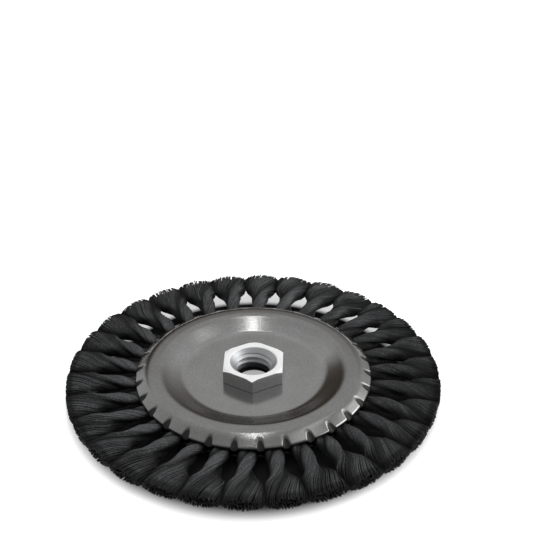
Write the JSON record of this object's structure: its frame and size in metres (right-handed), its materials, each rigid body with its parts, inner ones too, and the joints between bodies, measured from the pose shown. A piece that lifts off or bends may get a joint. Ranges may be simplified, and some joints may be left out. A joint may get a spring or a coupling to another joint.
{
  "type": "knot wire wheel brush",
  "caption": "Flat wheel brush of twisted steel wire knots clamped between two stamped plates, with a hex hub threaded 5/8-11 for an angle grinder spindle.",
  "frame": {"origin": "on the bore axis, at the middle of the carrier disc's thickness, inside the threaded wall", "axes": "+Z along the bore towards the hex, +X 2.6 degrees short of the first knot"},
  "size_m": [0.1528, 0.1528, 0.0145],
  "materials": {
    "zinc_plated_nut": "bright zinc plate, turned",
    "plated_sheet": "satin grey plated sheet steel, stamped",
    "carrier_steel": "mill finish sheet steel",
    "wire": "dark tempered steel wire, oily, bright where scuffed"
  },
  "bodies": {
    "root": {"arbor_nut": "zinc_plated_nut", "front_plate": "plated_sheet", "back_plate": "plated_sheet", "carrier_disc": "carrier_steel", "knot_01": "wire", "knot_02": "wire", "knot_03": "wire", "knot_04": "wire", "knot_05": "wire", "knot_06": "wire", "knot_07": "wire", "knot_08": "wire", "knot_09": "wire", "knot_10": "wire", "knot_11": "wire", "knot_12": "wire", "knot_13": "wire", "knot_14": "wire", "knot_15": "wire", "knot_16": "wire", "knot_17": "wire", "knot_18": "wire", "knot_19": "wire", "knot_20": "wire", "knot_21": "wire", "knot_22": "wire", "knot_23": "wire", "knot_24": "wire", "knot_25": "wire", "knot_26": "wire", "knot_27": "wire", "knot_28": "wire", "knot_29": "wire", "knot_30": "wire"}
  },
  "joints": []
}
